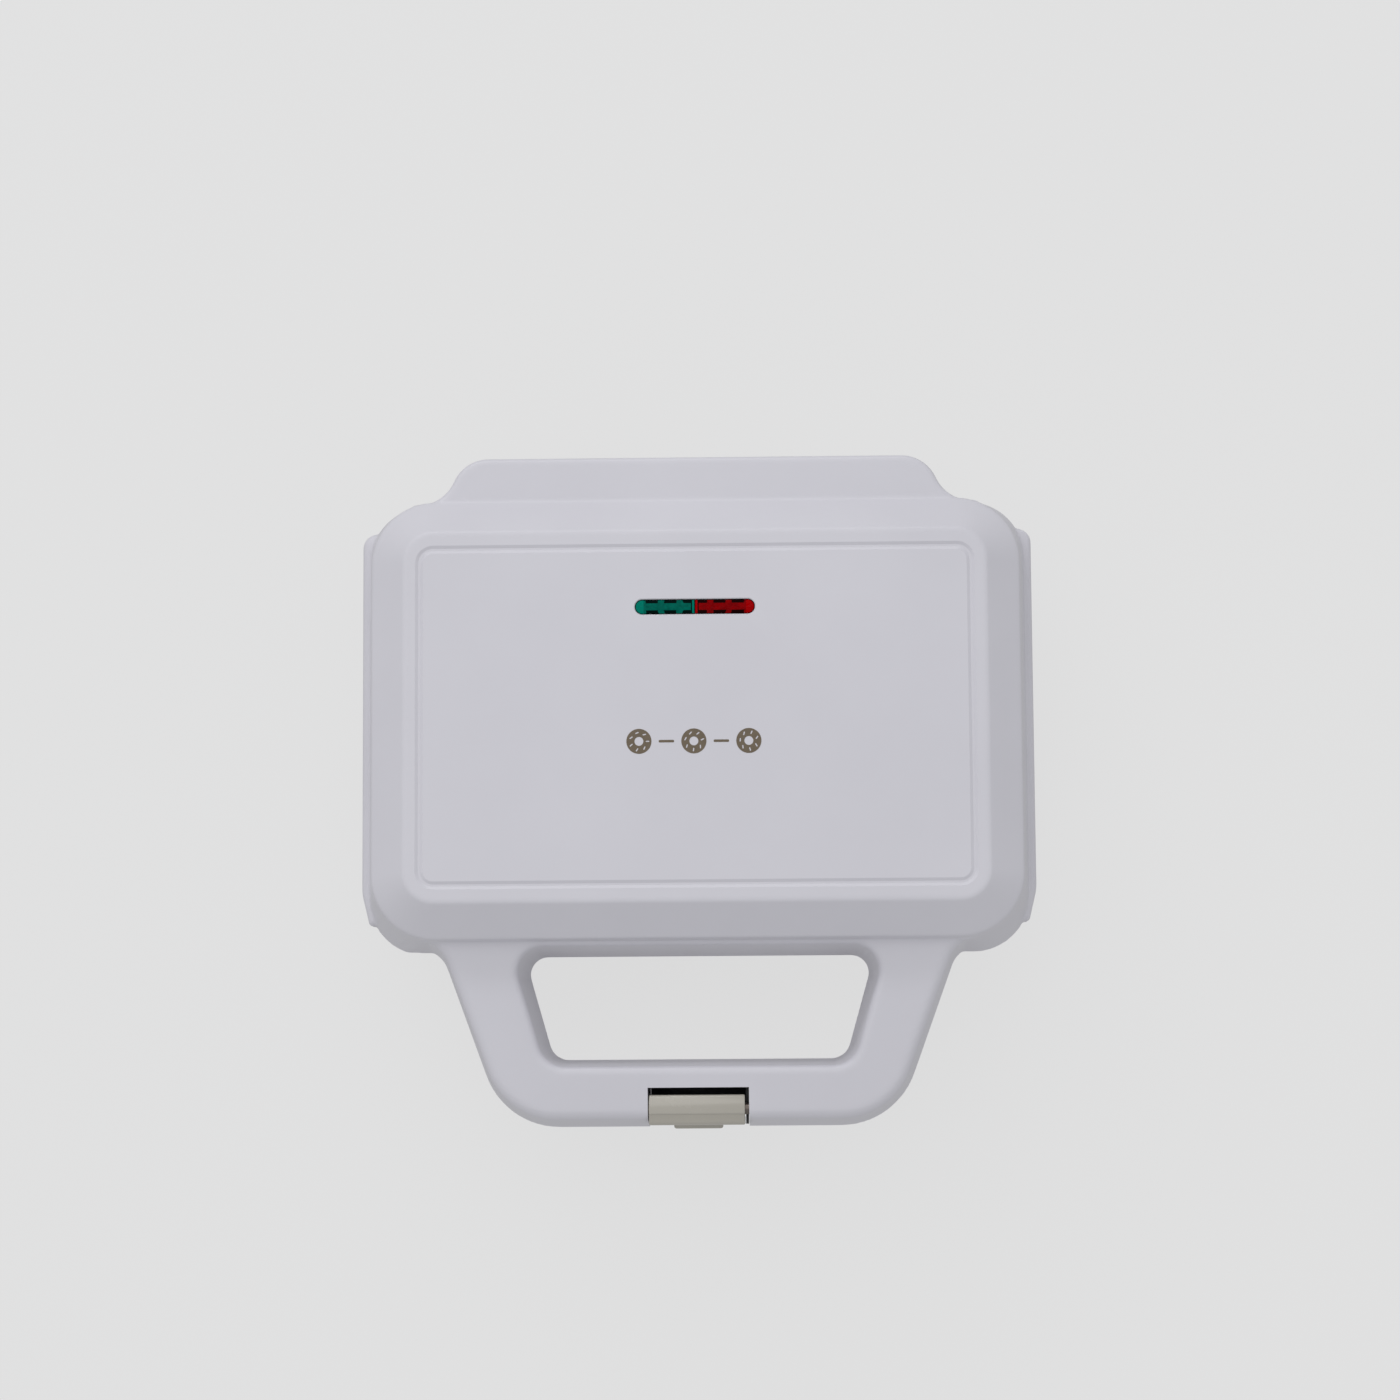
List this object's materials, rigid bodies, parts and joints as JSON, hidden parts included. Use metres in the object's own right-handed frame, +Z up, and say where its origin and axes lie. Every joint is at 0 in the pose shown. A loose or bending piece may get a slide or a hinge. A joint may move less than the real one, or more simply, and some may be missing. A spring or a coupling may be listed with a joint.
{
  "type": "donut maker",
  "caption": "Clamshell donut maker with a white satin casing, ring-mould cooking plates, a looped front handle, a flip latch and a rear hinge.",
  "frame": {"origin": "centre of the bounding box at the table surface under the rubber feet", "axes": "+Z up, +X to the right of someone facing the handle, +Y from the handle towards the hinge"},
  "size_m": [0.232, 0.2314, 0.092],
  "materials": {
    "casing": "fine satin moulded white plastic",
    "black_plastic": "heat-resistant black plastic",
    "nonstick_plate": "die-cast with a dark non-stick coating",
    "element_steel": "sheathed tube, heat-tinted",
    "bare_aluminium": "bare sheet",
    "screw_steel": "zinc plated",
    "pin_steel": "ground",
    "fuse_metal": "plated",
    "latch_plastic": "glossy taupe plastic",
    "green_lens": "translucent green, faceted inside",
    "red_lens": "translucent red, faceted inside",
    "lamp_glass": "clear neon envelope",
    "circuit_board": "phenolic board",
    "foot_rubber": "soft rubber",
    "ceramic": "unglazed ceramic",
    "glass_sleeve": "braided glass-fibre sleeve"
  },
  "bodies": {
    "base": {"base_wiring": "glass_sleeve", "cord_gland": "black_plastic", "hinge_pin_left": "pin_steel", "hinge_pin_right": "pin_steel", "hinge_sleeve": "glass_sleeve", "lower_cook_plate": "nonstick_plate", "lower_frame_screw_1": "screw_steel", "lower_frame_screw_2": "screw_steel", "lower_heating_element": "element_steel", "lower_inner_frame": "black_plastic", "lower_plate_screw_1": "screw_steel", "lower_plate_screw_2": "screw_steel", "lower_plate_screw_3": "screw_steel", "lower_plate_screw_4": "screw_steel", "lower_reflector": "bare_aluminium", "lower_reflector_screw_1": "screw_steel", "lower_reflector_screw_2": "screw_steel", "lower_shell": "casing", "rubber_foot_1": "foot_rubber", "rubber_foot_2": "foot_rubber", "rubber_foot_3": "foot_rubber", "rubber_foot_4": "foot_rubber", "terminal_block": "ceramic", "thermal_fuse": "fuse_metal", "thermostat": "ceramic"},
    "lid": {"green_lens": "green_lens", "green_neon_lamp": "lamp_glass", "lamp_board": "circuit_board", "lamp_board_screw_left": "screw_steel", "lamp_board_screw_right": "screw_steel", "latch_pin": "pin_steel", "lid_wiring": "glass_sleeve", "red_lens": "red_lens", "red_neon_lamp": "lamp_glass", "upper_cook_plate": "nonstick_plate", "upper_frame_screw_1": "screw_steel", "upper_frame_screw_2": "screw_steel", "upper_frame_screw_3": "screw_steel", "upper_frame_screw_4": "screw_steel", "upper_heating_element": "element_steel", "upper_inner_frame": "black_plastic", "upper_plate_screw_1": "screw_steel", "upper_plate_screw_2": "screw_steel", "upper_plate_screw_3": "screw_steel", "upper_plate_screw_4": "screw_steel", "upper_reflector": "bare_aluminium", "upper_reflector_screw_1": "screw_steel", "upper_reflector_screw_2": "screw_steel", "upper_shell": "casing"},
    "latch": {"latch_clip": "latch_plastic"}
  },
  "joints": [
    {"name": "lid_hinge", "type": "hinge", "parent": "base", "child": "lid", "pos_m": [0, 0.1065, 0.048], "axis": [-1, 0, 0], "range_deg": [0, 100]},
    {"name": "latch_pivot", "type": "hinge", "parent": "lid", "child": "latch", "pos_m": [0, -0.1087, 0.066], "axis": [-1, 0, 0], "range_deg": [-3, 40]}
  ]
}
